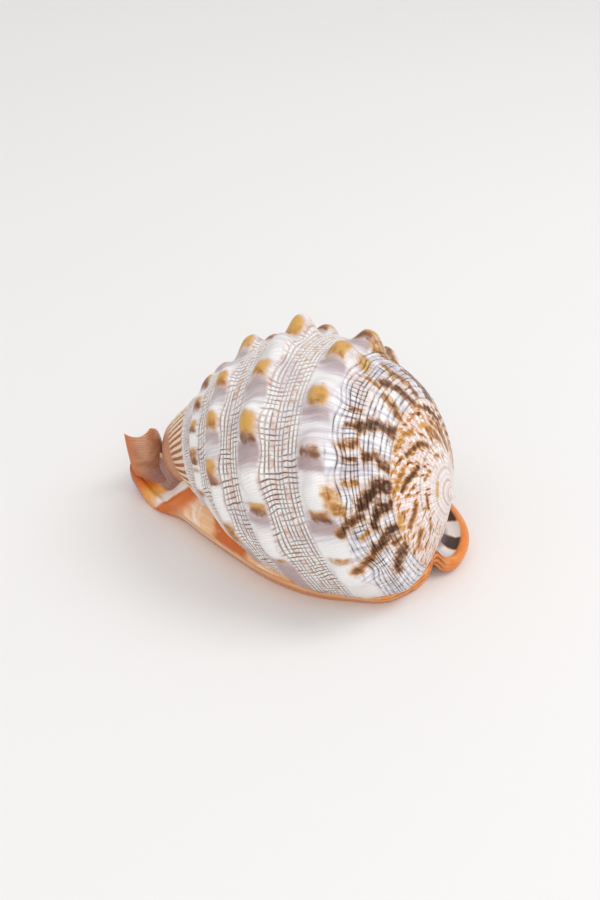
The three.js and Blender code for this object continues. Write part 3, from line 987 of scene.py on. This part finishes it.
def shield_colour(sh):
    """Outer face of the shield: peach, with pale and deep orange patches along the upper border."""
    colour = sh.mix(sh.step(sh.broad, 0.35, 0.65), tone(238, 188, 142), tone(226, 158, 102))
    colour = sh.mix(sh.step(sh.layers, 0.42, 0.7) * 0.4, colour, tone(248, 216, 180))
    high = sh.step(sh.wavy(sh.up, 4.0), 7.0, 9.5)
    patch_turn = (sh.share - PATCH_SHARE) * (2 * math.pi / PATCH_SPACING)
    patched = sh.math("COSINE", patch_turn) + (sh.middle - 0.5) * 2.0
    colour = sh.mix(high * sh.step(patched, -0.1, 0.6), colour, tone(204, 104, 40))
    pale = high * sh.step(patched, -0.5, -1.1)
    colour = sh.mix(pale * 0.8, colour, tone(248, 236, 218))
    level = sh.wavy(sh.up, 2.0)
    crease = sh.step(level, 5.2, 5.9) * sh.step(level, 6.6, 6.0)
    colour = sh.mix(crease * 0.6, colour, tone(168, 112, 78))
    return sh.mix(sh.step(sh.up, 2.4, 0.6) * 0.6, colour, tone(206, 116, 54))


def with_rear_corner(sh, colour):
    """Layered orange ridges."""
    rear = sh.within(sh.share, 0.34, 0.52, 0.03)
    bands = sh.up * 0.385 + sh.wavy(sh.share * 3.0, 0.8)
    colour = sh.mix(rear * 0.85, colour, tone(228, 138, 64))
    dark = rear * sh.lines(bands, 0.1, 0.3)
    colour = sh.mix(dark * 0.75, colour, tone(172, 86, 32))
    pale = rear * sh.lines(bands + 0.45, 0.06, 0.2)
    return sh.mix(pale * 0.5, colour, tone(246, 190, 124))


def front_colour(sh):
    """Deep orange at the tip, through yellow to white, and the brown ramp up to the canal."""
    colour = sh.mix(sh.step(sh.share, 0.018, 0.032), tone(172, 68, 22), tone(220, 118, 40))
    colour = sh.mix(sh.step(sh.wavy(sh.share, 0.01), 0.034, 0.046), colour, tone(242, 178, 90))
    colour = sh.mix(sh.step(sh.wavy(sh.share, 0.016), 0.05, 0.062), colour, tone(248, 242, 234))
    colour = sh.mix(sh.step(sh.inset, 1.5, 0.0) * 0.4, colour, tone(214, 130, 72))
    ramp = sh.mix(sh.middle, tone(164, 124, 112), tone(196, 156, 140))
    ramp_lines = sh.lines(sh.inset * 0.8, 0.1, 0.3)
    ramp = sh.mix(ramp_lines * 0.3, ramp, tone(130, 92, 84))
    return sh.mix(sh.step(sh.inset, 7.5, 9.0), colour, ramp)


def with_front(sh, colour):
    """The flap's deep orange, and beyond its slanted edge the front lobe."""
    ahead = sh.share + sh.wavy(sh.up * -FLAP_SLANT, 0.008)
    near_edge = sh.step(ahead, FLAP_SHARE + 0.035, FLAP_SHARE + 0.012)
    colour = sh.mix(near_edge, colour, tone(212, 112, 44))
    behind_edge = sh.step(ahead, FLAP_SHARE - 0.002, FLAP_SHARE + 0.002)
    return sh.mix(behind_edge, front_colour(sh), colour)


def with_lip(sh, colour):
    """Orange rim round a gutter barred brown and white, with painted shadow along the gutter's inner
    edge.
    """
    on_lip = sh.step(sh.share, 0.5, 0.54)
    rim = sh.mix(sh.middle, tone(236, 144, 66), tone(214, 114, 44))
    rim = sh.mix(sh.step(sh.layers, 0.45, 0.7) * 0.4, rim, tone(246, 174, 100))
    colour = sh.mix(on_lip, colour, rim)
    skewed = sh.share + sh.wavy(sh.inset * -0.0012, 0.012)
    bar_turn = (skewed - BAR_SHARE) * (2 * math.pi / BAR_SPACING)
    bars = sh.math("COSINE", bar_turn)
    barred = sh.mix(sh.step(bars, -0.2, 0.1), tone(226, 218, 214), tone(176, 122, 72))
    barred = sh.mix(sh.step(bars, 0.0, 0.35), barred, tone(66, 48, 38))
    barred = sh.mix(sh.step(sh.share, 0.575, 0.56), barred, tone(206, 200, 208))
    # Painted shadow: dark grey-violet along the gutter's inner edge, next to the whorl.
    barred = sh.mix(sh.step(sh.inset, 8.0, 10.0) * 0.6, barred, tone(96, 88, 98))
    gutter = sh.step(sh.inset, 2.8, 4.0) * sh.step(sh.ring, 0.42, 0.36)
    return sh.mix(on_lip * gutter, colour, barred)


def with_salmon(sh, colour):
    """Glossy salmon, paler towards the mouth, with brown gaps along its edge."""
    under = sh.step(sh.ring, 0.44, 0.5)
    salmon = sh.mix(sh.step(sh.broad, 0.35, 0.65), tone(222, 132, 82), tone(236, 170, 126))
    salmon = sh.mix(sh.step(sh.to_mouth, 0.45, 0.9), salmon, tone(240, 206, 172))
    colour = sh.mix(under, colour, salmon)
    stripes = sh.lines(sh.around * 0.22, 0.12, 0.16)
    edge = sh.step(sh.to_mouth, 0.8, 0.98) * under
    return sh.mix(edge * stripes, colour, tone(96, 52, 30))


def callus_material():
    sh = CallusShade()
    colour = with_rear_corner(sh, shield_colour(sh))
    colour = with_lip(sh, with_front(sh, colour))
    colour = with_salmon(sh, colour)
    height = sh.layers * 0.6 + sh.middle * 0.4
    return sh.finish(colour, 0.16 + sh.middle * 0.16, height, 0.0004)


def canal_material():
    sh = Shade("shell_canal")
    along, across, side = sh.values("spot")
    place = sh.point(along * 60.0, across * 26.0)
    middle = sh.noise(place, 0.2, 3)
    run = sh.step(along, 0.62, 0.4)
    bow = sh.math("SINE", across * math.pi) * 1.5
    upright = sh.lines(along * 46.0 + bow + middle * 1.2, 0.1, 0.3)
    ramp = sh.lines(across * 24.0 + middle, 0.1, 0.3)
    colour = sh.mix(sh.step(middle, 0.35, 0.65), tone(190, 132, 98), tone(218, 170, 138))
    colour = sh.mix(upright * 0.3, colour, tone(160, 108, 84))
    ramp_colour = sh.mix(ramp * 0.4, tone(164, 118, 104), tone(120, 78, 70))
    colour = sh.mix(run, colour, ramp_colour)
    # Painted shadow: darker brown across the middle of the trough, where shade falls.
    shade = sh.within(along, 0.45, 0.62, 0.08) * sh.step(across, 0.2, 0.5)
    colour = sh.mix(shade * 0.6, colour, tone(148, 92, 74))
    edges = sh.math("MAXIMUM", sh.step(across, 0.25, 0.02), sh.step(across, 0.85, 0.98))
    edges = sh.math("MAXIMUM", edges, sh.step(along, 0.88, 1.0))
    colour = sh.mix(edges * 0.85, colour, tone(208, 124, 74))
    inner = sh.mix(middle, tone(226, 150, 92), tone(238, 196, 150))
    colour = sh.mix(sh.step(side, 0.1, -0.1), colour, inner)
    relief = sh.mix(run, upright, ramp) * -0.6 + middle
    return sh.finish(colour, 0.3 + middle * 0.15, relief, 0.0003)


def tooth_material():
    sh = Shade("shell_teeth")
    cloud = sh.noise(sh.object_place(), 300.0, 2)
    colour = sh.mix(cloud, tone(246, 236, 220), tone(232, 196, 158))
    return sh.finish(colour, 0.18 + cloud * 0.15, cloud, 0.0002)


def hollow_material():
    sh = Shade("shell_hollow")
    cloud = sh.noise(sh.object_place(), 120.0, 3)
    colour = sh.mix(cloud, tone(128, 72, 40), tone(186, 120, 78))
    return sh.finish(colour, 0.25 + cloud * 0.2, cloud, 0.0003)


def floor_material():
    sh = Shade("floor")
    cloud = sh.noise(sh.object_place(), 3.0, 3)
    colour = sh.mix(cloud, (0.868, 0.856, 0.85), (0.848, 0.836, 0.83))
    return sh.finish(colour, 0.6 + cloud * 0.1)


materials = [body_material(), callus_material(), canal_material(), hollow_material(), tooth_material()]

body = make_body()
foot = make_foot()
canal = make_canal()
hollow = make_hollow()
teeth = make_teeth()
for part in (body, foot, canal, hollow, teeth):
    face_out(part)
for part, operation in ((hollow, "DIFFERENCE"), (foot, "UNION"), (canal, "UNION"), (teeth, "UNION")):
    cut = body.modifiers.new(part.name, "BOOLEAN")
    cut.operation = operation
    cut.solver = "MANIFOLD"
    cut.object = part
whole = bpy.data.meshes.new_from_object(body.evaluated_get(bpy.context.evaluated_depsgraph_get()))
for part in (body, foot, canal, hollow, teeth):
    bpy.data.objects.remove(part)
whole.shade_smooth()
whole.set_sharp_from_angle(angle=SHARP_ANGLE)
shell = add_object("shell_look", whole)
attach(shell, "root")
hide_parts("shell")

# Camera, floor and light.
camera_data = bpy.data.cameras.new("camera")
camera_data.sensor_fit = "VERTICAL"
camera_data.sensor_height = CAMERA_FRAME
camera_data.lens = CAMERA_LENS
camera = add_object("camera", camera_data)
behind = CAMERA_RIGHT.cross(CAMERA_UP)
turned = Matrix((CAMERA_RIGHT, CAMERA_UP, behind)).transposed().to_4x4()
camera.matrix_world = Matrix.Translation(Vector((CAMERA_PLACE - CENTRE) / 1000)) @ turned
bpy.context.scene.camera = camera

floor_mesh = bpy.data.meshes.new("floor")
floor_corners = [(x * FLOOR_HALF, y * FLOOR_HALF, 0) for x, y in ((-1, -1), (1, -1), (1, 1), (-1, 1))]
floor_mesh.from_pydata(floor_corners, [], [(0, 1, 2, 3)])
floor = add_object("floor", floor_mesh)
floor_mesh.materials.append(floor_material())


def area_light(name, place, size, power):
    light = bpy.data.lights.new(name, "AREA")
    light.size = size
    light.energy = power
    lamp = add_object(name, light)
    lamp.location = place
    lamp.rotation_euler = (-Vector(place)).to_track_quat("-Z", "Y").to_euler()


area_light("key", *KEY_LIGHT)
area_light("fill", *FILL_LIGHT)
world = bpy.data.worlds.new("world")
world.use_nodes = True
sky = world.node_tree.nodes["Background"]
sky.inputs["Color"].default_value = SKY_COLOUR
sky.inputs["Strength"].default_value = SKY_STRENGTH
bpy.context.scene.world = world
bpy.context.scene.view_settings.view_transform = "Standard"
